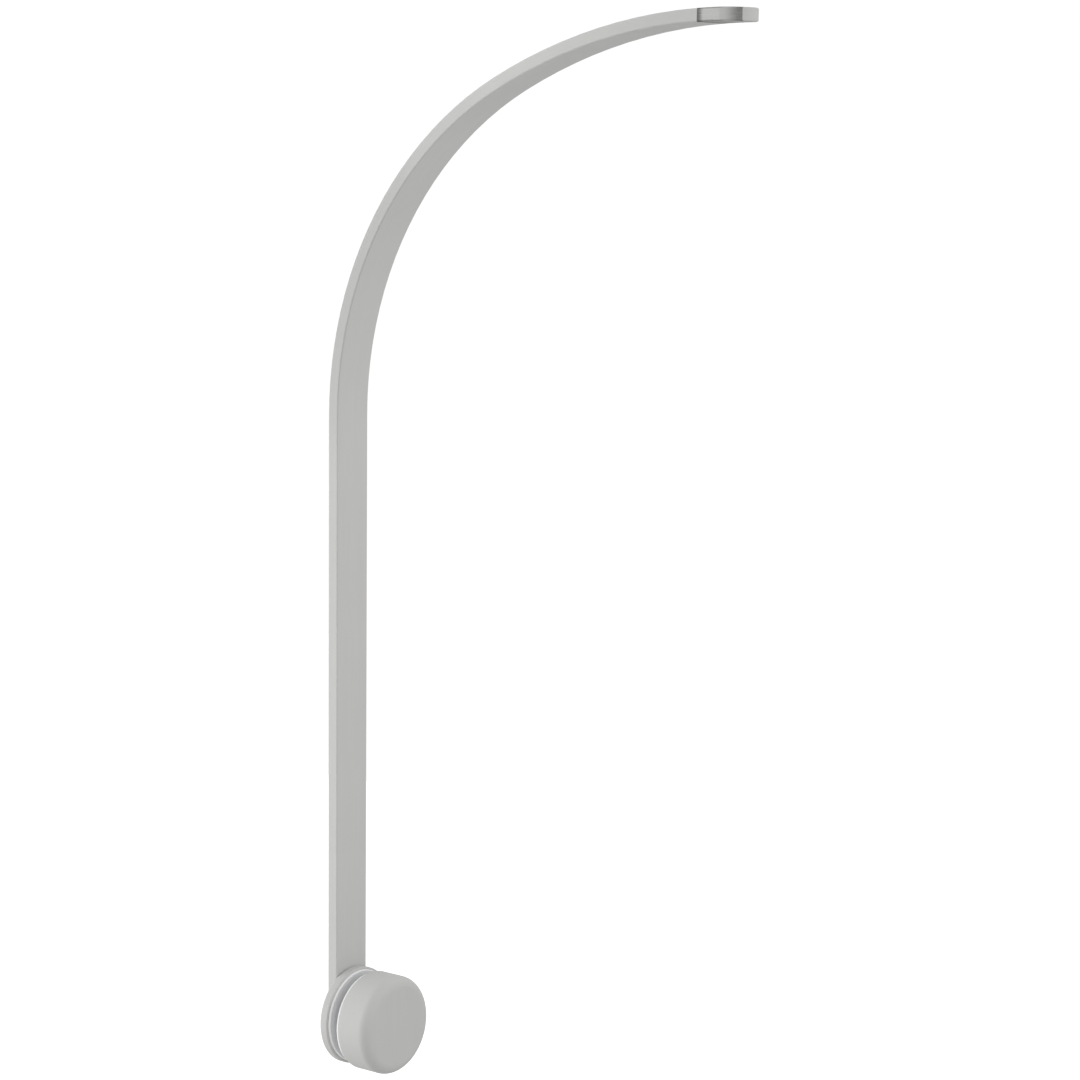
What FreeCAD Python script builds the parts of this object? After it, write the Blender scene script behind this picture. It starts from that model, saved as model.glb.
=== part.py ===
import FreeCAD, Part
import math
import os

# Clamp-on crib mobile arm, in millimetres.
# +Z is up, +X points from the arm towards the knob and the hanging tip, Y runs across the strip.
# The origin is where the axis of the clamp stud meets the fixed jaw's pad face.

Vector = FreeCAD.Vector
X_DIR = Vector(1, 0, 0)
Y_DIR = Vector(0, 1, 0)
Z_DIR = Vector(0, 0, 1)

# ---- driving dimensions -------------------------------------------------
STRIP_THICKNESS = 8.0
STRIP_WIDTH = 29.5
STRIP_EDGE_RADIUS = 1.0
STRAIGHT_HEIGHT = 400.0      # clamp axis to the start of the bend
BEND_1_RADIUS = 236.3        # to the strip's centreline
BEND_1_ANGLE = 63.5
BEND_2_RADIUS = 375.4
BEND_2_ANGLE = 29.6          # a little too long; the tip's outline trims it
TIP_REACH = 296.5            # clamp pad face to the end of the rounded tip
FOOT_DROP = 8.0              # clamp axis down to the centre of the rounded foot

SLEEVE_LENGTH = 27.3
SLEEVE_WALL = 0.6
NOSE_SHOWING = 2.6           # rounded wood left bare in front of the sleeve

JAW_RISE = 1.0               # the fixed jaw's centre sits this far above the stud
DISC_RADIUS = 32.1
DISC_THICKNESS = 6.7
DISC_FRONT_ROUNDING = 0.9
DISC_BACK_ROUNDING = 2.0
JAW_PAD_RADIUS = 30.5
JAW_PAD_THICKNESS = 1.3
PAD_EDGE_RADIUS = 0.35
JAW_PAD_BORE = 5.5

CLAMP_GAP = 6.4              # between the two pads, as set in the rest pose
KNOB_PAD_RADIUS = 31.2
KNOB_PAD_THICKNESS = 1.1
SWIVEL_GAP = 0.2             # knob pad to the knob's back face
KNOB_RADIUS = 32.5
KNOB_LENGTH = 25.6
KNOB_FRONT_ROUNDING = 7.0
KNOB_BACK_ROUNDING = 2.0
KNOB_FRONT_WALL = 4.0

STUD_RADIUS = 4.0            # M8
STUD_REACH = 23.6            # stud's free end, in front of the fixed pad
STUD_CHAMFER = 1.0
BOLT_HOLE_RADIUS = 4.2
HEAD_RADIUS = 8.5
HEAD_THICKNESS = 2.4
HEAD_RECESS_RADIUS = 8.8
HEAD_RECESS_DEPTH = 2.2
HEAD_EDGE_RADIUS = 0.7
SOCKET_ACROSS_FLATS = 5.0
SOCKET_DEPTH = 4.0
WASHER_RADIUS = 8.0
WASHER_THICKNESS = 1.6
NUT_ACROSS_FLATS = 13.0
NUT_THICKNESS = 4.0
NUT_CHAMFER = 0.7
NUT_POCKET_RADIUS = 8.8
THREAD_CLEARANCE = 0.05      # running clearance of the insert on the stud
DOWEL_RADIUS = 3.0
DOWEL_LENGTH = 10.0
DOWEL_HEIGHTS = (20.5, -15.0)

HUB_RADIUS = 14.6
HUB_DEPTH = 3.0
HUB_BORE = 8.5
HUB_WEB = 1.2
HUB_SEAT_RADIUS = 15.0
HUB_SEAT_DEPTH = 3.3
INSERT_RADIUS = 8.0
INSERT_LENGTH = 12.2
FLANGE_RADIUS = 12.0
FLANGE_RECESS_RADIUS = 12.6
FLANGE_THICKNESS = 1.1
FLANGE_CLEARANCE = 0.3
INSERT_GROOVE_DEPTH = 0.8
INSERT_GROOVE_PITCH = 2.4
INSERT_GROOVES = 4
INSERT_TIP_LAND = 0.6        # plain length of barrel before the first groove
KNOB_BORE = 4.8

# ---- construction allowances ----------------------------------------------
ENVELOPE = 1000.0            # longer than any side of the object
PAST = 1.0                   # how far a cutting tool runs past the face it cuts
SAME_PLACE = 1e-6            # two lengths closer than this are equal
PARALLEL = 0.999             # cosine above which two directions are parallel

# ---- derived places along X ---------------------------------------------
JAW_PAD_BACK = -JAW_PAD_THICKNESS
ARM_FRONT = JAW_PAD_BACK - DISC_THICKNESS
ARM_CENTRE = ARM_FRONT - STRIP_THICKNESS / 2
ARM_BACK = ARM_FRONT - STRIP_THICKNESS
KNOB_PAD_BACK = CLAMP_GAP + KNOB_PAD_THICKNESS
KNOB_BACK = KNOB_PAD_BACK + SWIVEL_GAP
KNOB_FRONT = KNOB_BACK + KNOB_LENGTH
HUB_BACK = KNOB_PAD_BACK + HUB_DEPTH
WEB_FRONT = HUB_BACK - HUB_WEB
FLANGE_BACK = WEB_FRONT - FLANGE_CLEARANCE
FLANGE_FRONT = FLANGE_BACK - FLANGE_THICKNESS
INSERT_END = FLANGE_FRONT + INSERT_LENGTH
HEAD_BACK = ARM_BACK + HEAD_RECESS_DEPTH - HEAD_THICKNESS
HEAD_SEAT = ARM_BACK + HEAD_RECESS_DEPTH
HALF_WIDTH = STRIP_WIDTH / 2
NOSE_CENTRE = TIP_REACH - HALF_WIDTH
SLEEVE_FRONT = TIP_REACH - NOSE_SHOWING
SLEEVE_BACK = SLEEVE_FRONT - SLEEVE_LENGTH


def rod(radius, x_from, x_to, y=0.0, z=0.0):
    """A round bar along X."""
    return Part.makeCylinder(radius, x_to - x_from, Vector(x_from, y, z), X_DIR)


def hexagon(across_flats, x_from, x_to):
    """A hexagonal bar along X, with a corner pointing up."""
    corner = across_flats / math.sqrt(3)
    points = []
    for i in range(7):
        angle = math.radians(60 * i)
        points.append(Vector(x_from, corner * math.sin(angle), corner * math.cos(angle)))
    face = Part.Face(Part.makePolygon(points))
    return face.extrude(Vector(x_to - x_from, 0, 0))


def sharp_edges(shape, at_x):
    """The circular edges of a turned piece that lie in the plane X = at_x."""
    return [e for e in shape.Edges if all(abs(v.X - at_x) < SAME_PLACE for v in e.Vertexes)
            and isinstance(e.Curve, Part.Circle)]


def rims_of_radius(shape, at_x, radius):
    return [e for e in sharp_edges(shape, at_x) if abs(e.Curve.Radius - radius) < SAME_PLACE]


def bent_bar(thickness, width, foot_z):
    """The strip with square edges: a straight leg and two tangent bends of growing radius."""
    profile = Part.Face(Part.makePolygon([
        Vector(ARM_CENTRE - thickness / 2, -width / 2, foot_z),
        Vector(ARM_CENTRE + thickness / 2, -width / 2, foot_z),
        Vector(ARM_CENTRE + thickness / 2, width / 2, foot_z),
        Vector(ARM_CENTRE - thickness / 2, width / 2, foot_z),
        Vector(ARM_CENTRE - thickness / 2, -width / 2, foot_z)]))
    leg = profile.extrude(Vector(0, 0, STRAIGHT_HEIGHT - foot_z))
    section = profile.translated(Vector(0, 0, STRAIGHT_HEIGHT - foot_z))
    centre_1 = Vector(ARM_CENTRE + BEND_1_RADIUS, 0, STRAIGHT_HEIGHT)
    bend_1 = section.revolve(centre_1, Y_DIR, BEND_1_ANGLE)
    turned = section.rotated(centre_1, Y_DIR, BEND_1_ANGLE)
    lean = math.radians(BEND_1_ANGLE)
    inward = Vector(math.cos(lean), 0, -math.sin(lean))
    centre_2 = centre_1 + inward * (BEND_2_RADIUS - BEND_1_RADIUS)
    bend_2 = turned.revolve(centre_2, Y_DIR, BEND_2_ANGLE)
    return leg.fuse([bend_1, bend_2]).removeSplitter()


def tip_outline(width, nose_radius):
    """The strip's outline seen from above: straight sides and a full round nose."""
    sides = Part.makeBox(ENVELOPE, width, 2 * ENVELOPE,
                         Vector(NOSE_CENTRE - ENVELOPE, -width / 2, -ENVELOPE))
    nose = Part.makeCylinder(nose_radius, 2 * ENVELOPE, Vector(NOSE_CENTRE, 0, -ENVELOPE), Z_DIR)
    return sides.fuse(nose)


def foot_outline(width):
    """The strip's outline seen from the knob's side: straight sides and a full round foot."""
    sides = Part.makeBox(2 * ENVELOPE, width, ENVELOPE, Vector(-ENVELOPE, -width / 2, -FOOT_DROP))
    foot = Part.makeCylinder(width / 2, 2 * ENVELOPE, Vector(-ENVELOPE, 0, -FOOT_DROP), X_DIR)
    return sides.fuse(foot)


def strip(inset, edge_radius):
    """The bent strip with rounded edges, pared down by inset on every side."""
    width = STRIP_WIDTH - 2 * inset
    bar = bent_bar(STRIP_THICKNESS - 2 * inset, width, -FOOT_DROP - HALF_WIDTH)
    bar = bar.common(tip_outline(width, HALF_WIDTH - inset))
    bar = bar.common(foot_outline(width))
    rims = [e for e in bar.Edges if not runs_across(e) and not runs_through(e)]
    return bar.makeFillet(edge_radius, rims)


def runs_across(edge):
    """True for the seams where one bend meets the next, which run along Y."""
    along = edge.tangentAt(edge.FirstParameter)
    return abs(along.y) > PARALLEL and isinstance(edge.Curve, Part.Line)


def runs_through(edge):
    """True for the short seams through the strip's thickness, where straight sides meet round ends."""
    return isinstance(edge.Curve, Part.Line) and edge.Length < STRIP_THICKNESS + SAME_PLACE


def sleeve_zone():
    """The stretch of the tip that the sleeve covers, as a block between two planes."""
    return Part.makeBox(SLEEVE_LENGTH, STRIP_WIDTH * 2, ENVELOPE,
                        Vector(SLEEVE_BACK, -STRIP_WIDTH, STRAIGHT_HEIGHT))


def tip_sleeve(blank):
    core = strip(SLEEVE_WALL, STRIP_EDGE_RADIUS - SLEEVE_WALL)
    return blank.common(sleeve_zone()).cut(core)


def arm(blank, sleeve):
    """The strip, relieved for the sleeve and bored for the stud, its head and the dowels."""
    body = blank.cut(sleeve)
    body = body.cut(rod(BOLT_HOLE_RADIUS, ARM_BACK - PAST, ARM_FRONT + PAST))
    body = body.cut(rod(HEAD_RECESS_RADIUS, ARM_BACK - PAST, HEAD_SEAT))
    for height in DOWEL_HEIGHTS:
        body = body.cut(rod(DOWEL_RADIUS, ARM_FRONT - DOWEL_LENGTH / 2, ARM_FRONT + PAST, z=height))
    return body


def jaw_disc():
    """The fixed jaw: a turned disc on the strip's inner face, open in the middle for the nut."""
    disc = rod(DISC_RADIUS, ARM_FRONT, JAW_PAD_BACK, z=JAW_RISE)
    disc = disc.makeFillet(DISC_BACK_ROUNDING, sharp_edges(disc, ARM_FRONT))
    disc = disc.makeFillet(DISC_FRONT_ROUNDING, sharp_edges(disc, JAW_PAD_BACK))
    disc = disc.cut(rod(NUT_POCKET_RADIUS, ARM_FRONT - PAST, JAW_PAD_BACK + PAST))
    for height in DOWEL_HEIGHTS:
        disc = disc.cut(rod(DOWEL_RADIUS, ARM_FRONT - PAST, ARM_FRONT + DOWEL_LENGTH / 2, z=height))
    return disc


def jaw_pad():
    pad = rod(JAW_PAD_RADIUS, JAW_PAD_BACK, 0, z=JAW_RISE)
    pad = pad.makeFillet(PAD_EDGE_RADIUS, sharp_edges(pad, 0))
    return pad.cut(rod(JAW_PAD_BORE, JAW_PAD_BACK - PAST, PAST))


def locating_dowels():
    """Two plain dowels that stop the fixed jaw turning on the strip."""
    dowels = []
    for height in DOWEL_HEIGHTS:
        pin = rod(DOWEL_RADIUS, ARM_FRONT - DOWEL_LENGTH / 2, ARM_FRONT + DOWEL_LENGTH / 2, z=height)
        dowels.append(pin)
    return Part.makeCompound(dowels)


def clamp_bolt():
    """A flat-headed connector bolt with a hexagon socket; its shank is the clamp's stud."""
    head = rod(HEAD_RADIUS, HEAD_BACK, HEAD_SEAT)
    head = head.makeFillet(HEAD_EDGE_RADIUS, sharp_edges(head, HEAD_BACK))
    shank = rod(STUD_RADIUS, HEAD_SEAT - PAST, STUD_REACH)
    shank = shank.makeChamfer(STUD_CHAMFER, sharp_edges(shank, STUD_REACH))
    bolt = head.fuse(shank).removeSplitter()
    return bolt.cut(hexagon(SOCKET_ACROSS_FLATS, HEAD_BACK - PAST, HEAD_BACK + SOCKET_DEPTH))


def stud_washer():
    washer = rod(WASHER_RADIUS, ARM_FRONT, ARM_FRONT + WASHER_THICKNESS)
    return washer.cut(rod(BOLT_HOLE_RADIUS, ARM_FRONT - PAST, ARM_FRONT + WASHER_THICKNESS + PAST))


def stud_nut():
    """A thin hexagon nut with both ends chamfered by a turned cone."""
    back = ARM_FRONT + WASHER_THICKNESS
    front = back + NUT_THICKNESS
    turned = rod(NUT_ACROSS_FLATS / math.sqrt(3), back, front)
    turned = turned.makeChamfer(NUT_CHAMFER, sharp_edges(turned, back) + sharp_edges(turned, front))
    nut = hexagon(NUT_ACROSS_FLATS, back, front).common(turned)
    return nut.cut(rod(STUD_RADIUS + THREAD_CLEARANCE, back - PAST, front + PAST))


def knob_pad():
    """The swivelling pressure pad: a thin disc with a hub that the insert's flange holds."""
    pad = rod(KNOB_PAD_RADIUS, CLAMP_GAP, KNOB_PAD_BACK)
    pad = pad.makeFillet(PAD_EDGE_RADIUS, sharp_edges(pad, CLAMP_GAP))
    pad = pad.fuse(rod(HUB_RADIUS, KNOB_PAD_BACK - PAD_EDGE_RADIUS, HUB_BACK)).removeSplitter()
    pad = pad.cut(rod(FLANGE_RECESS_RADIUS, CLAMP_GAP - PAST, WEB_FRONT))
    return pad.cut(rod(HUB_BORE, CLAMP_GAP, HUB_BACK + PAST))


def knob():
    """The turned hand knob: flat face, broad rounded front edge, blind bore for the stud."""
    body = rod(KNOB_RADIUS, KNOB_BACK, KNOB_FRONT)
    body = body.makeFillet(KNOB_FRONT_ROUNDING, rims_of_radius(body, KNOB_FRONT, KNOB_RADIUS))
    body = body.makeFillet(KNOB_BACK_ROUNDING, rims_of_radius(body, KNOB_BACK, KNOB_RADIUS))
    body = body.cut(rod(HUB_SEAT_RADIUS, KNOB_BACK - PAST, KNOB_BACK + HUB_SEAT_DEPTH))
    body = body.cut(rod(INSERT_RADIUS, KNOB_BACK, INSERT_END))
    return body.cut(rod(KNOB_BORE, KNOB_BACK, KNOB_FRONT - KNOB_FRONT_WALL))


def knob_insert():
    """The threaded insert: a grooved barrel in the wood and a flange that holds the pad."""
    barrel = rod(INSERT_RADIUS, FLANGE_FRONT, INSERT_END)
    flange = rod(FLANGE_RADIUS, FLANGE_FRONT, FLANGE_BACK)
    insert = barrel.fuse(flange).removeSplitter()
    for i in range(INSERT_GROOVES):
        end = INSERT_END - INSERT_TIP_LAND - INSERT_GROOVE_PITCH * i
        start = end - INSERT_GROOVE_PITCH / 2
        floor = rod(INSERT_RADIUS - INSERT_GROOVE_DEPTH, start, end)
        insert = insert.cut(rod(INSERT_RADIUS + PAST, start, end).cut(floor))
    return insert.cut(rod(STUD_RADIUS + THREAD_CLEARANCE, FLANGE_FRONT - PAST, INSERT_END + PAST))


def main():
    os.makedirs("parts", exist_ok=True)
    blank = strip(0.0, STRIP_EDGE_RADIUS)
    sleeve = tip_sleeve(blank)
    nodes = {
        "arm": arm(blank, sleeve),
        "tip_sleeve": sleeve,
        "jaw_disc": jaw_disc(),
        "jaw_pad": jaw_pad(),
        "locating_dowels": locating_dowels(),
        "clamp_bolt": clamp_bolt(),
        "stud_washer": stud_washer(),
        "stud_nut": stud_nut(),
        "knob_pad": knob_pad(),
        "knob": knob(),
        "knob_insert": knob_insert(),
    }
    for name, shape in nodes.items():
        shape.exportStep("parts/" + name + ".step")
        box = shape.BoundBox
        print(name, "solids", len(shape.Solids), "valid", shape.isValid(),
              "volume %.1f mm3" % shape.Volume,
              "x %.2f..%.2f y %.2f..%.2f z %.2f..%.2f" % (
                  box.XMin, box.XMax, box.YMin, box.YMax, box.ZMin, box.ZMax))


main()
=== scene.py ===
import math

import bmesh
import bpy
from mathutils import Matrix, Vector


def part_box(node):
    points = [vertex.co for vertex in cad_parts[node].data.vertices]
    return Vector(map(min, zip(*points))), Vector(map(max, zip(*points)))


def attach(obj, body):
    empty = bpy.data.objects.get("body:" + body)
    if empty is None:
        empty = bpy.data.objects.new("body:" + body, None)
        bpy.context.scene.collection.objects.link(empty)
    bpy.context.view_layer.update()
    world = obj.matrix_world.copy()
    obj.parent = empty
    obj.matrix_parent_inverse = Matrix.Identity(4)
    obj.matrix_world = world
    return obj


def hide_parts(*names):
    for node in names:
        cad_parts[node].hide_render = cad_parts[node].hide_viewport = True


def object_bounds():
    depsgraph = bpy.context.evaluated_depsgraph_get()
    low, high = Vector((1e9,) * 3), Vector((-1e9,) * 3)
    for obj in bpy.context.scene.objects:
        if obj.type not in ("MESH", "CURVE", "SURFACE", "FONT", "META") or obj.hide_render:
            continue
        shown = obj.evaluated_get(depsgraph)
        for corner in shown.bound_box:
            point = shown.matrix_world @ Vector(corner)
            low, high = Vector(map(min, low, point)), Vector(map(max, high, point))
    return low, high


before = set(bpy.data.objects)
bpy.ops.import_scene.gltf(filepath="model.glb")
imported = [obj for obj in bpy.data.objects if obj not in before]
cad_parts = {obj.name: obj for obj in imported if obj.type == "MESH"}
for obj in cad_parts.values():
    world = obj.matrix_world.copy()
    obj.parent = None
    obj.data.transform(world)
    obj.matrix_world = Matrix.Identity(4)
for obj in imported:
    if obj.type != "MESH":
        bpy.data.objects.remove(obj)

# Clamp-on crib mobile arm, in metres, in the CAD frame: +Z up, +X from the arm towards the knob.
# Noise scales are in cells per metre, and colours are linear.
CAD_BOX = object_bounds()

# ---- the bent strip's shape --------------------------------------------------
STRIP_WIDTH = 0.0295
STRIP_CENTRE_X = -0.012
STRAIGHT_HEIGHT = 0.400
BEND_1_RADIUS = 0.2363
BEND_1_ANGLE = math.radians(63.5)
BEND_2_RADIUS = 0.3754
PLY_PITCH = 0.00115

# ---- the paint ---------------------------------------------------------------
PAINT_DARK = 0.552
PAINT_PALE = 0.578
PAINT_WARMTH = 0.978            # blue as a share of red and green
PAINT_SPECULAR = 0.15
MOTTLE_SCALE = 22.0
GLOSS_SCALE = 60.0
PEEL_SCALE = 900.0
PEEL_DEPTH = 0.0002
GRAIN_DEPTH = 0.0003
PLY_TONE = 0.05                 # taken off the tone, between dark and pale, at a ply line
PLY_RELIEF = 0.25               # how deep a ply line is, against the grain's relief
STRIP_GRAIN = (14.0, 420.0, 900.0)      # cells along, across and through the strip
TURNED_GRAIN = (700.0, 420.0, 26.0)     # cells along X, Y and Z
TURNED_PLY_SHARE = 0.35         # ply lines on the turned pieces, against the strip's
TURNED_LEVEL = 0.965            # their paint's level, against the strip's
WANDER_SCALE = 30.0             # how quickly the ply lines come and go along the strip

# The look of the strip's narrow sides fades in between these distances inside their faces.
SIDE_FADE_START = 0.0013
SIDE_FADE_END = 0.0002

# Stretches along the strip, counted from the height of the stud, where painted shade darkens its
# paint: all over towards the tip, and on the narrow sides round the bend and at the tip.
TIP_SHADE_FADE = (0.66, 0.86)
TIP_SHADE_LEVEL = 0.905
BEND_SHADE_IN = (0.33, 0.46)
BEND_SHADE_OUT = (0.52, 0.66)
TIP_SHADE_IN = (0.66, 0.80)
TIP_SHADE_SHARE = 0.5
SIDE_PAINTED_SHADE = 0.11               # how much darker the painted shade makes the narrow sides where it is full

# ---- the tip sleeve ----------------------------------------------------------
BACK_SHADOW_START = 0.0010        # a painted shadow along the back edge fades out, counted from the sleeve's back end
BACK_SHADOW_END = 0.0048
PALE_REFLECTION_START = 0.0120             # a painted pale reflection fades in, counted from its front end
PALE_REFLECTION_FULL = 0.0080
NOSE_REFLECTION_START = 0.0070             # a painted dark reflection at the nose fades in, counted from its front end
NOSE_REFLECTION_FULL = 0.0003
SLEEVE_STEEL = (0.315, 0.315, 0.31, 1.0)
# Painted light on the sleeve: a pale reflection, a dark reflection at the nose and a shadow at the
# back edge.
SLEEVE_PALE_REFLECTION = (0.47, 0.47, 0.465, 1.0)
SLEEVE_DARK_REFLECTION = (0.21, 0.21, 0.206, 1.0)
SLEEVE_BACK_SHADOW = (0.08, 0.08, 0.078, 1.0)
SCRATCH_COLOUR = (0.95, 0.95, 0.94, 1.0)
SCRATCH_SHARE = 0.12
SCRATCH_STRETCH = (60.0, 500.0, 3600.0)

# ---- the other materials, each mixed from a first and a second colour --------
PAD_RIM = (0.90, 0.90, 0.90, 1.0), (0.95, 0.95, 0.945, 1.0)
# The gripping face's greyer colour is painted shade.
PAD_FACE_SHADED = (0.71, 0.712, 0.72, 1.0), (0.75, 0.752, 0.76, 1.0)
PAD_RIM_START = 0.0010          # the rim's colour fades in between these distances from the edge
PAD_RIM_FULL = 0.0002
ZINC = (0.36, 0.37, 0.39, 1.0), (0.46, 0.47, 0.48, 1.0)
BRASS = (0.62, 0.45, 0.20, 1.0), (0.76, 0.60, 0.30, 1.0)
BRASS_LATHE_SCALE = 5000.0
BEECH = (0.50, 0.33, 0.18, 1.0), (0.68, 0.50, 0.31, 1.0)
BEECH_STRETCH = (60.0, 1200.0, 1200.0)

# ---- the clamp bolt ----------------------------------------------------------
THREAD_PITCH = 0.00125
THREAD_DEPTH = 0.00068
THREAD_START = -0.0050
THREAD_FLANK_SLOPE = 2.6        # share of the depth gained in one pitch from the crest's middle
THREAD_CREST_FLAT = 0.15        # share of the depth held back, which leaves the crest flat
THREAD_RINGS = 10               # rings of vertices for each turn of the thread
STUD_RADIUS = 0.0040
STUD_END_CHAMFER = 0.0010
BOLT_HEAD_LENGTH = 0.0024
BOLT_HEAD_ROUNDING = 0.0007
ROUNDING_STEPS = 5
SOCKET_ACROSS_FLATS = 0.0050
SOCKET_CORNER = SOCKET_ACROSS_FLATS / math.sqrt(3)
SOCKET_DEPTH = 0.0040
SOCKET_MIDDLE = 0.0006          # radius of the ring that closes the middle of the socket's floor
SOCKET_CHAMFER = 0.00025
SOCKET_MOUTH = 1.04             # radius of the socket's mouth, against its corners
SOCKET_SURROUND = 1.08          # a ring just outside the mouth, which keeps the head's face flat
BOLT_STEPS = 48                 # vertices in each ring
BOLT_SHARP_ANGLE = math.radians(35)     # edges that turn by more than this stay sharp

# ---- camera, light and floor -------------------------------------------------
CAMERA_PLACE = (1.24822, -1.42775, 0.58681)
CAMERA_AZIMUTH = math.radians(37.672)
CAMERA_PITCH = math.radians(8.006)
CAMERA_ROLL = math.radians(0.637)
CAMERA_LENS = 98.34
CAMERA_SENSOR = 36.0
CAMERA_NEAR = 0.05
CAMERA_FAR = 50.0
SURROUND_LEVEL = 1.02
GLOW_ABOVE = 0.86
GLOW_BELOW = 0.605
GLOW_EDGE = 0.45                # the glow changes level while a direction's Z is within this of 0
LOBE_AZIMUTH = math.radians(-56.0)      # from -Y towards +X
LOBE_HEIGHT = math.radians(-3.0)
LOBE_LEVEL = 4.8
LOBE_OUTER = math.radians(26.0)
LOBE_INNER = math.radians(6.0)
SOFTBOX_PLACE = (0.80, 0.25, 0.50)
SOFTBOX_SIDE = 0.5
SOFTBOX_WATTS = 1.05
FLOOR_DROP = 1.6
FLOOR_SIZE = 12.0
FLOOR_GREY = 0.8
FLOOR_GLOW = 0.5
WHITE = (1.0, 1.0, 1.0, 1.0)


# ---- small helpers for node trees --------------------------------------------
class Tree:
    """A few short ways of adding nodes to one material or world."""

    def __init__(self, tree):
        self.tree = tree
        self.tree.nodes.clear()

    def add(self, kind, **settings):
        node = self.tree.nodes.new(kind)
        for name, value in settings.items():
            setattr(node, name, value)
        return node

    def put(self, value, socket):
        """Links a socket, or stores a plain value."""
        if isinstance(value, bpy.types.NodeSocket):
            self.tree.links.new(value, socket)
        else:
            socket.default_value = value

    def place(self):
        """A point's place in its piece's own coordinates, which at rest are the frame's."""
        return self.add("ShaderNodeTexCoord").outputs["Object"]

    def math(self, operation, a, b=0.0, c=0.0):
        node = self.add("ShaderNodeMath", operation=operation)
        for value, socket in zip((a, b, c), node.inputs):
            self.put(value, socket)
        return node.outputs[0]

    def plus(self, a, b):
        return self.math("ADD", a, b)

    def times(self, a, b):
        return self.math("MULTIPLY", a, b)

    def vector(self, operation, a, b=(0.0, 0.0, 0.0)):
        node = self.add("ShaderNodeVectorMath", operation=operation)
        self.put(a, node.inputs[0])
        self.put(b, node.inputs[1])
        return node.outputs["Value"] if operation in ("DOT_PRODUCT", "LENGTH") else node.outputs[0]

    def scale(self, vector, factor):
        node = self.add("ShaderNodeVectorMath", operation="SCALE")
        self.put(vector, node.inputs[0])
        self.put(factor, node.inputs["Scale"])
        return node.outputs[0]

    def combine(self, x, y, z):
        node = self.add("ShaderNodeCombineXYZ")
        for value, socket in zip((x, y, z), node.inputs):
            self.put(value, socket)
        return node.outputs[0]

    def separate(self, vector):
        node = self.add("ShaderNodeSeparateXYZ")
        self.put(vector, node.inputs[0])
        return node.outputs

    def stretched(self, parts, scales):
        """Coordinates scaled one by one, for a noise that is long one way and fine another."""
        x, y, z = (self.times(part, scale) for part, scale in zip(parts, scales))
        return self.combine(x, y, z)

    def smooth(self, value, low, high, out_low=0.0, out_high=1.0):
        """Goes smoothly from out_low to out_high as the value goes from low to high."""
        node = self.add("ShaderNodeMapRange", interpolation_type="SMOOTHSTEP")
        for item, socket in zip((value, low, high, out_low, out_high), node.inputs):
            self.put(item, socket)
        return node.outputs[0]

    def noise(self, vector, scale=1.0, detail=2.0, roughness=0.5):
        node = self.add("ShaderNodeTexNoise")
        self.put(vector, node.inputs["Vector"])
        node.inputs["Scale"].default_value = scale
        node.inputs["Detail"].default_value = detail
        node.inputs["Roughness"].default_value = roughness
        return node.outputs["Fac"]

    def mix(self, factor, a, b):
        node = self.add("ShaderNodeMix", data_type="RGBA")
        self.put(factor, node.inputs[0])
        self.put(a, node.inputs[6])
        self.put(b, node.inputs[7])
        return node.outputs[2]

    def bump(self, height, strength, distance, normal=None):
        node = self.add("ShaderNodeBump")
        node.inputs["Strength"].default_value = strength
        node.inputs["Distance"].default_value = distance
        self.put(height, node.inputs["Height"])
        if normal is not None:
            self.put(normal, node.inputs["Normal"])
        return node.outputs[0]

    def background(self, colour, strength):
        node = self.add("ShaderNodeBackground")
        self.put(colour, node.inputs["Color"])
        self.put(strength, node.inputs["Strength"])
        return node.outputs[0]

    def surface(self, **values):
        """Adds the surface shader. An underscore stands for a space in a socket's name."""
        shader = self.add("ShaderNodeBsdfPrincipled")
        for name, value in values.items():
            self.put(value, shader.inputs[name.replace("_", " ")])
        out = self.add("ShaderNodeOutputMaterial")
        self.tree.links.new(shader.outputs[0], out.inputs[0])


def material(name):
    finish = bpy.data.materials.new(name)
    finish.use_nodes = True
    return finish, Tree(finish.node_tree)


def grey(level):
    """A grey of the given level, made slightly warm by lowering its blue."""
    return (level, level, level * PAINT_WARMTH, 1.0)


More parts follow.
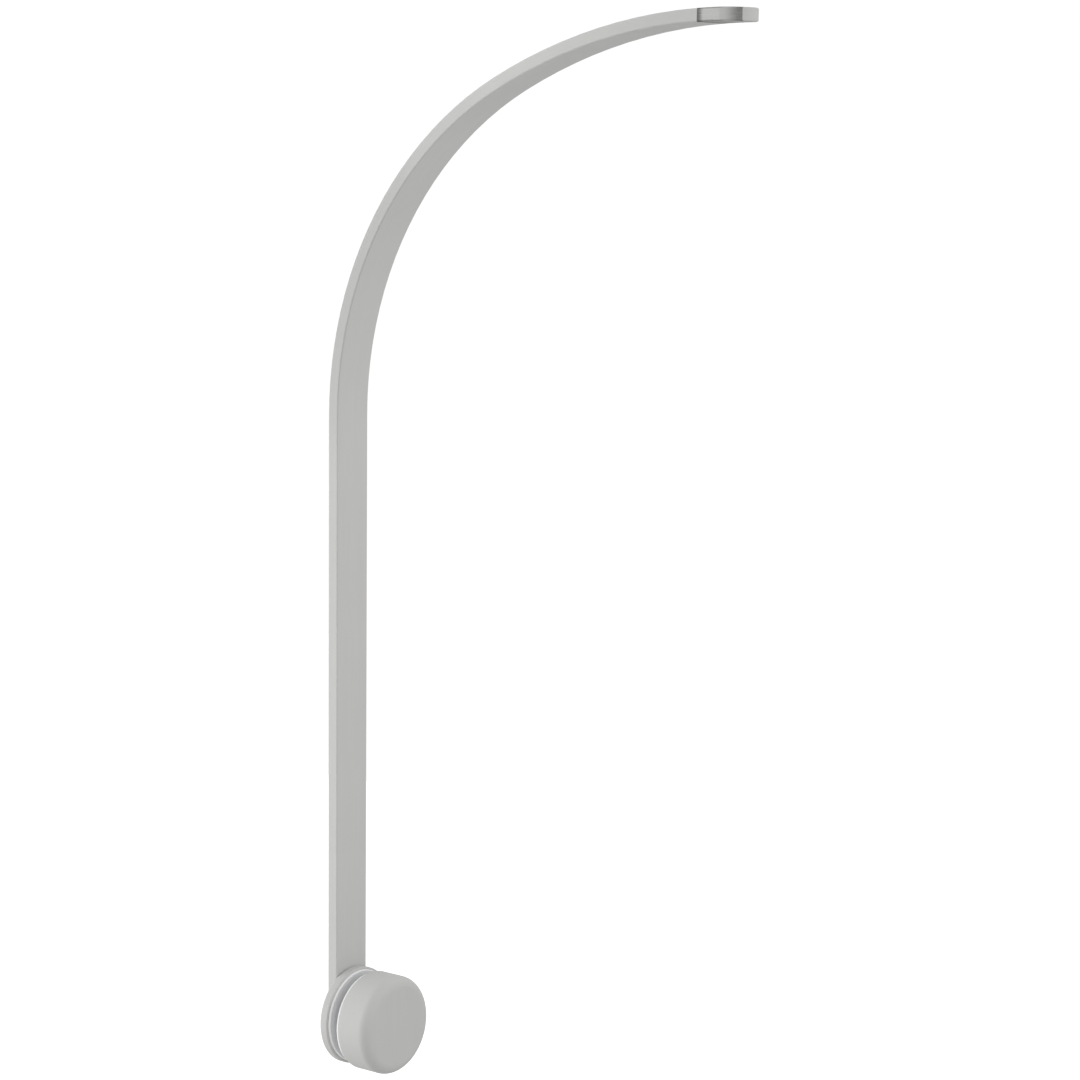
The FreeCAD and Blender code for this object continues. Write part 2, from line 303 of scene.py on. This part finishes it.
# ---- materials ---------------------------------------------------------------
def strip_coordinates(tree, place):
    """Distances along, across and through the bent strip, for any point on it."""
    x, y, z = tree.separate(place)
    lean = Vector((math.cos(BEND_1_ANGLE), 0.0, -math.sin(BEND_1_ANGLE)))
    along = Vector((math.sin(BEND_1_ANGLE), 0.0, math.cos(BEND_1_ANGLE)))
    centre_1 = Vector((STRIP_CENTRE_X + BEND_1_RADIUS, 0.0, STRAIGHT_HEIGHT))
    centre_2 = centre_1 + lean * (BEND_2_RADIUS - BEND_1_RADIUS)
    flat = tree.combine(x, 0.0, z)

    def bend(centre, radius):
        spoke = tree.vector("SUBTRACT", flat, tuple(centre))
        spoke_x, _, spoke_z = tree.separate(spoke)
        angle = tree.math("ARCTAN2", spoke_z, tree.times(spoke_x, -1.0))
        depth = tree.math("SUBTRACT", radius, tree.vector("LENGTH", spoke))
        return depth, tree.times(angle, radius)

    depth_0 = tree.math("SUBTRACT", x, STRIP_CENTRE_X)
    depth_1, run_1 = bend(centre_1, BEND_1_RADIUS)
    depth_2, run_2 = bend(centre_2, BEND_2_RADIUS)
    past_leg = tree.math("GREATER_THAN", z, STRAIGHT_HEIGHT)
    from_centre_1 = tree.vector("SUBTRACT", flat, tuple(centre_1))
    from_joint = tree.vector("DOT_PRODUCT", from_centre_1, tuple(along))
    past_bend_1 = tree.math("GREATER_THAN", from_joint, 0.0)
    run_1 = tree.plus(run_1, STRAIGHT_HEIGHT)
    run_2 = tree.plus(run_2, STRAIGHT_HEIGHT + BEND_1_ANGLE * (BEND_1_RADIUS - BEND_2_RADIUS))

    def choose(on_leg, on_bend_1, on_bend_2):
        change = tree.math("SUBTRACT", on_bend_2, on_bend_1)
        on_bends = tree.plus(on_bend_1, tree.times(past_bend_1, change))
        return tree.plus(on_leg, tree.times(past_leg, tree.math("SUBTRACT", on_bends, on_leg)))

    return choose(z, run_1, run_2), y, choose(depth_0, depth_1, depth_2)


def ply_lines(tree, through, start):
    """Thin lines one ply apart, from a distance through the plies. A higher start thins them."""
    wave = tree.math("SINE", tree.times(through, 2 * math.pi / PLY_PITCH))
    return tree.smooth(wave, start, 1.0)


def paint_finish(tree, place, grain, plies, level):
    """Satin paint: faint mottling, filled grain, ply edges showing through, fine orange peel."""
    mottle = tree.noise(place, MOTTLE_SCALE, detail=3.0)
    fibre = tree.noise(grain, detail=4.0, roughness=0.6)
    tone = tree.plus(tree.times(mottle, 0.5), tree.times(fibre, 0.5))
    tone = tree.plus(tone, tree.times(plies, -PLY_TONE))
    colour = tree.mix(tree.smooth(tone, 0.2, 0.8), grey(PAINT_DARK), grey(PAINT_PALE))
    colour = tree.scale(colour, level)
    peel = tree.bump(tree.noise(place, PEEL_SCALE), strength=0.10, distance=PEEL_DEPTH)
    relief = tree.plus(fibre, tree.times(plies, -PLY_RELIEF))
    normal = tree.bump(relief, strength=0.16, distance=GRAIN_DEPTH, normal=peel)
    rough = tree.smooth(tree.noise(place, GLOSS_SCALE), 0.3, 0.7, out_low=0.50, out_high=0.60)
    tree.surface(Base_Color=colour, Roughness=rough, Normal=normal,
                 Specular_IOR_Level=PAINT_SPECULAR)


def strip_painted_shade(tree, run, on_side):
    """Painted shade in the strip's paint: darker towards the tip, and darker on its sides round the
    bend and at the tip.
    """
    level = tree.smooth(run, *TIP_SHADE_FADE, out_low=1.0, out_high=TIP_SHADE_LEVEL)
    into_bend = tree.smooth(run, *BEND_SHADE_IN)
    out_of_bend = tree.smooth(run, *BEND_SHADE_OUT, out_low=1.0, out_high=0.0)
    at_bend = tree.times(into_bend, out_of_bend)
    near_tip = tree.smooth(run, *TIP_SHADE_IN, out_high=TIP_SHADE_SHARE)
    shade = tree.times(tree.math("MAXIMUM", at_bend, near_tip), on_side)
    return tree.times(level, tree.math("MULTIPLY_ADD", shade, -SIDE_PAINTED_SHADE, 1.0))


def painted_strip():
    finish, tree = material("paint_on_bent_strip")
    place = tree.place()
    run, across, depth = strip_coordinates(tree, place)
    grain = tree.stretched((run, across, depth), STRIP_GRAIN)
    half = STRIP_WIDTH / 2
    on_side = tree.smooth(tree.math("ABSOLUTE", across), half - SIDE_FADE_START, half - SIDE_FADE_END)
    wander = tree.noise(tree.combine(tree.times(run, WANDER_SCALE), 0.0, 0.0))
    wander = tree.smooth(wander, 0.35, 0.65, out_low=0.4)
    plies = tree.times(tree.times(ply_lines(tree, depth, 0.55), on_side), wander)
    # the paint's level carries the painted shade along the strip
    paint_finish(tree, place, grain, plies, strip_painted_shade(tree, run, on_side))
    return finish


def painted_turning():
    """The same paint on the turned disc and knob, whose grain runs up the wood."""
    finish, tree = material("paint_on_turned_wood")
    place = tree.place()
    x, y, z = tree.separate(place)
    grain = tree.stretched((x, y, z), TURNED_GRAIN)
    plies = tree.times(ply_lines(tree, x, 0.6), TURNED_PLY_SHARE)
    paint_finish(tree, place, grain, plies, TURNED_LEVEL)
    return finish


def brushed_sleeve():
    """Brushed steel with painted light in its colour: a painted shadow at the back edge, a painted
    pale reflection past the middle and a painted dark reflection at the nose.
    """
    low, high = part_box("tip_sleeve")
    finish, tree = material("brushed_steel_sleeve")
    x, y, z = tree.separate(tree.place())
    at_back_shadow = tree.smooth(x, low.x + BACK_SHADOW_START, low.x + BACK_SHADOW_END, out_low=1.0, out_high=0.0)
    at_pale_reflection = tree.smooth(x, high.x - PALE_REFLECTION_START, high.x - PALE_REFLECTION_FULL)
    at_dark_reflection = tree.smooth(x, high.x - NOSE_REFLECTION_START, high.x - NOSE_REFLECTION_FULL)
    # painted reflections and a painted shadow laid over the plain steel
    steel = tree.mix(at_pale_reflection, SLEEVE_STEEL, SLEEVE_PALE_REFLECTION)
    steel = tree.mix(at_dark_reflection, steel, SLEEVE_DARK_REFLECTION)
    steel = tree.mix(at_back_shadow, steel, SLEEVE_BACK_SHADOW)
    scratch = tree.noise(tree.stretched((x, y, z), SCRATCH_STRETCH), detail=3.0, roughness=0.6)
    scratched = tree.mix(SCRATCH_SHARE, steel, SCRATCH_COLOUR)
    colour = tree.mix(tree.smooth(scratch, 0.35, 0.7), steel, scratched)
    rough = tree.smooth(scratch, 0.3, 0.7, out_low=0.52, out_high=0.62)
    normal = tree.bump(scratch, strength=0.25, distance=0.0001)
    tree.surface(Base_Color=colour, Metallic=1.0, Roughness=rough, Normal=normal)
    return finish


def white_elastomer(node):
    """A pad's matt white rubber: plain white round the rim, and greyer on the gripping face as painted
    shade from the gap between the jaws.
    """
    low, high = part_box(node)
    finish, tree = material("white_elastomer_" + node)
    place = tree.place()
    speck = tree.noise(place, 450.0, detail=3.0, roughness=0.6)
    cloud = tree.noise(place, 40.0)
    from_centre = tree.vector("SUBTRACT", place, (0.0, 0.0, (low.z + high.z) / 2))
    radius = tree.vector("LENGTH", tree.vector("MULTIPLY", from_centre, (0.0, 1.0, 1.0)))
    at_rim = tree.smooth(radius, high.y - PAD_RIM_START, high.y - PAD_RIM_FULL)
    # painted shade greys the gripping face inside the rim
    colour = tree.mix(at_rim, tree.mix(cloud, *PAD_FACE_SHADED), tree.mix(cloud, *PAD_RIM))
    normal = tree.bump(speck, strength=0.2, distance=0.0002)
    tree.surface(Base_Color=colour, Roughness=0.62, Normal=normal, Specular_IOR_Level=0.4)
    return finish


def zinc_plate():
    finish, tree = material("zinc_plated_steel")
    cloud = tree.noise(tree.place(), 260.0, detail=4.0, roughness=0.65)
    colour = tree.mix(tree.smooth(cloud, 0.3, 0.7), *ZINC)
    rough = tree.smooth(cloud, 0.3, 0.7, out_low=0.36, out_high=0.48)
    normal = tree.bump(cloud, strength=0.1, distance=0.0001)
    tree.surface(Base_Color=colour, Metallic=1.0, Roughness=rough, Normal=normal)
    return finish


def turned_brass():
    """Brass with the fine rings that a lathe leaves along X."""
    finish, tree = material("turned_brass")
    x = tree.separate(tree.place())[0]
    lathe = tree.noise(tree.combine(tree.times(x, BRASS_LATHE_SCALE), 0.0, 0.0))
    colour = tree.mix(lathe, *BRASS)
    normal = tree.bump(lathe, strength=0.15, distance=0.0001)
    tree.surface(Base_Color=colour, Metallic=1.0, Roughness=0.3, Normal=normal)
    return finish


def bare_beech():
    """Unpainted beech, whose fibres run along X."""
    finish, tree = material("bare_beech")
    x, y, z = tree.separate(tree.place())
    fibre = tree.noise(tree.stretched((x, y, z), BEECH_STRETCH), detail=4.0, roughness=0.6)
    normal = tree.bump(fibre, strength=0.2, distance=0.0002)
    tree.surface(Base_Color=tree.mix(fibre, *BEECH), Roughness=0.6, Normal=normal)
    return finish


def dress_nodes():
    """Gives every CAD node its material, and returns the zinc for the bolt made below."""
    strip_paint = painted_strip()
    turned_paint = painted_turning()
    zinc = zinc_plate()
    finishes = {
        "arm": strip_paint,
        "tip_sleeve": brushed_sleeve(),
        "jaw_disc": turned_paint,
        "knob": turned_paint,
        "jaw_pad": white_elastomer("jaw_pad"),
        "knob_pad": white_elastomer("knob_pad"),
        "clamp_bolt": zinc,
        "stud_washer": zinc,
        "stud_nut": zinc,
        "knob_insert": turned_brass(),
        "locating_dowels": bare_beech(),
    }
    for name, finish in finishes.items():
        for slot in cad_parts[name].material_slots:
            slot.material = finish
    return zinc


# ---- the clamp bolt, with its thread and socket cut --------------------------
def hexagon_radius(corner, angle):
    """Distance from the axis to the side of a hexagon that has a corner pointing up."""
    from_corner = (angle - math.pi / 2) % (math.pi / 3)
    return corner * math.cos(math.pi / 6) / math.cos(from_corner - math.pi / 6)


def thread_radius(x, angle):
    """Radius of a right-handed thread with flat crests and roots, at one place on the stud."""
    phase = (x / THREAD_PITCH - angle / (2 * math.pi)) % 1.0
    flank = min(1.0, max(0.0, THREAD_FLANK_SLOPE * abs(phase - 0.5) - THREAD_CREST_FLAT))
    return STUD_RADIUS - THREAD_DEPTH * flank


def turned_mesh(name, rings, steps):
    """A closed mesh along X from rings, each a place on the axis and a radius for every angle."""
    shape = bmesh.new()
    loops = []
    for x, radius_at in rings:
        loop = []
        for i in range(steps):
            angle = 2 * math.pi * i / steps
            radius = radius_at(angle)
            loop.append(shape.verts.new((x, radius * math.cos(angle), radius * math.sin(angle))))
        loops.append(loop)
    for before, after in zip(loops, loops[1:]):
        for i in range(steps):
            j = (i + 1) % steps
            shape.faces.new((before[i], before[j], after[j], after[i]))
    for loop in (loops[0], loops[-1]):
        shape.faces.new(loop)
    bmesh.ops.recalc_face_normals(shape, faces=shape.faces)
    for face in shape.faces:
        face.smooth = True
    mesh = bpy.data.meshes.new(name)
    shape.to_mesh(mesh)
    shape.free()
    piece = bpy.data.objects.new(name, mesh)
    bpy.context.scene.collection.objects.link(piece)
    return piece


def circle(radius):
    """A ring's radius that is the same at every angle."""
    return lambda angle: radius


def socket_rings(face):
    """The hex socket, from the middle of its floor out to the flat of the head."""
    def socket(angle):
        return hexagon_radius(SOCKET_CORNER, angle)

    return [(face + SOCKET_DEPTH, circle(SOCKET_MIDDLE)), (face + SOCKET_DEPTH, socket),
            (face + SOCKET_CHAMFER, socket), (face, circle(SOCKET_CORNER * SOCKET_MOUTH)),
            (face, circle(SOCKET_CORNER * SOCKET_SURROUND))]


def head_rings(face, radius):
    """The head's rounded outer edge, and its underside, where the plain shank starts."""
    rings = []
    for i in range(ROUNDING_STEPS + 1):
        turn = math.pi / 2 * i / ROUNDING_STEPS
        rings.append((face + BOLT_HEAD_ROUNDING * (1 - math.cos(turn)),
                      circle(radius - BOLT_HEAD_ROUNDING * (1 - math.sin(turn)))))
    underside = face + BOLT_HEAD_LENGTH
    return rings + [(underside, circle(radius)), (underside, circle(STUD_RADIUS))]


def thread_rings(tip):
    """The end of the plain shank, the threaded length and the chamfered end."""
    rings = [(THREAD_START - THREAD_PITCH, circle(STUD_RADIUS))]
    end = tip - STUD_END_CHAMFER
    count = round((end - THREAD_START) / THREAD_PITCH * THREAD_RINGS)
    for i in range(count + 1):
        x = THREAD_START + (end - THREAD_START) * i / count
        rings.append((x, lambda angle, x=x: thread_radius(x, angle)))
    return rings + [(tip, circle(STUD_RADIUS - STUD_END_CHAMFER))]


def clamp_bolt(finish):
    low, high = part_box("clamp_bolt")
    rings = socket_rings(low.x) + head_rings(low.x, high.y) + thread_rings(high.x)
    bolt = turned_mesh("bolt_with_thread", rings, BOLT_STEPS)
    bolt.data.materials.append(finish)
    bolt.data.set_sharp_from_angle(angle=BOLT_SHARP_ANGLE)
    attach(bolt, "arm_assembly")
    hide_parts("clamp_bolt")


# ---- light, floor and camera -------------------------------------------------
def studio():
    """A white surround to look at, and a softer sky, floor glow and left-hand lobe to light by."""
    world = bpy.data.worlds.new("studio")
    world.use_nodes = True
    bpy.context.scene.world = world
    tree = Tree(world.node_tree)
    direction = tree.vector("NORMALIZE", tree.add("ShaderNodeTexCoord").outputs["Generated"])
    height = tree.separate(direction)[2]
    sky = tree.smooth(height, -GLOW_EDGE, GLOW_EDGE, GLOW_BELOW, GLOW_ABOVE)

    middle = (math.sin(LOBE_AZIMUTH) * math.cos(LOBE_HEIGHT),
              -math.cos(LOBE_AZIMUTH) * math.cos(LOBE_HEIGHT), math.sin(LOBE_HEIGHT))
    near = tree.vector("DOT_PRODUCT", direction, middle)
    lobe = tree.smooth(near, math.cos(LOBE_OUTER), math.cos(LOBE_INNER), out_high=LOBE_LEVEL)
    light = tree.background(WHITE, tree.plus(sky, lobe))
    surround = tree.background(WHITE, SURROUND_LEVEL)
    chooser = tree.add("ShaderNodeMixShader")
    tree.put(tree.add("ShaderNodeLightPath").outputs["Is Camera Ray"], chooser.inputs[0])
    tree.put(light, chooser.inputs[1])
    tree.put(surround, chooser.inputs[2])
    out = tree.add("ShaderNodeOutputWorld")
    tree.put(chooser.outputs[0], out.inputs[0])
    bpy.context.scene.view_settings.view_transform = "Standard"


def softbox():
    """A broad lamp in front of the strip's inner face, level with the middle of the first bend."""
    lamp = bpy.data.lights.new("softbox", "AREA")
    lamp.shape = "RECTANGLE"
    lamp.size = SOFTBOX_SIDE
    lamp.size_y = SOFTBOX_SIDE
    lamp.energy = SOFTBOX_WATTS
    piece = bpy.data.objects.new("softbox", lamp)
    piece.location = SOFTBOX_PLACE
    aim = Vector((0.0, 0.0, SOFTBOX_PLACE[2])) - Vector(SOFTBOX_PLACE)
    piece.rotation_euler = aim.to_track_quat("-Z", "Y").to_euler()
    piece.visible_camera = False
    bpy.context.scene.collection.objects.link(piece)


def floor():
    """A plain pale floor, well below the arm. It neither lights nor shades anything."""
    level = CAD_BOX[0][2] - FLOOR_DROP
    mesh = bpy.data.meshes.new("floor")
    half = FLOOR_SIZE / 2
    corners = [(-half, -half, level), (half, -half, level), (half, half, level), (-half, half, level)]
    mesh.from_pydata(corners, [], [(0, 1, 2, 3)])
    plane = bpy.data.objects.new("floor", mesh)
    bpy.context.scene.collection.objects.link(plane)
    finish, tree = material("pale_floor")
    tree.surface(Base_Color=(FLOOR_GREY, FLOOR_GREY, FLOOR_GREY, 1.0), Roughness=0.9,
                 Emission_Color=WHITE, Emission_Strength=FLOOR_GLOW)
    mesh.materials.append(finish)
    plane.visible_diffuse = False
    plane.visible_glossy = False
    plane.visible_shadow = False


def camera():
    data = bpy.data.cameras.new("camera")
    data.sensor_width = CAMERA_SENSOR
    data.lens = CAMERA_LENS
    data.clip_start = CAMERA_NEAR
    data.clip_end = CAMERA_FAR
    eye = bpy.data.objects.new("camera", data)
    bpy.context.scene.collection.objects.link(eye)
    turn = (Matrix.Rotation(CAMERA_AZIMUTH, 4, "Z")
            @ Matrix.Rotation(math.pi / 2 - CAMERA_PITCH, 4, "X")
            @ Matrix.Rotation(CAMERA_ROLL, 4, "Z"))
    eye.matrix_world = Matrix.Translation(CAMERA_PLACE) @ turn
    bpy.context.scene.camera = eye


clamp_bolt(dress_nodes())
studio()
softbox()
floor()
camera()
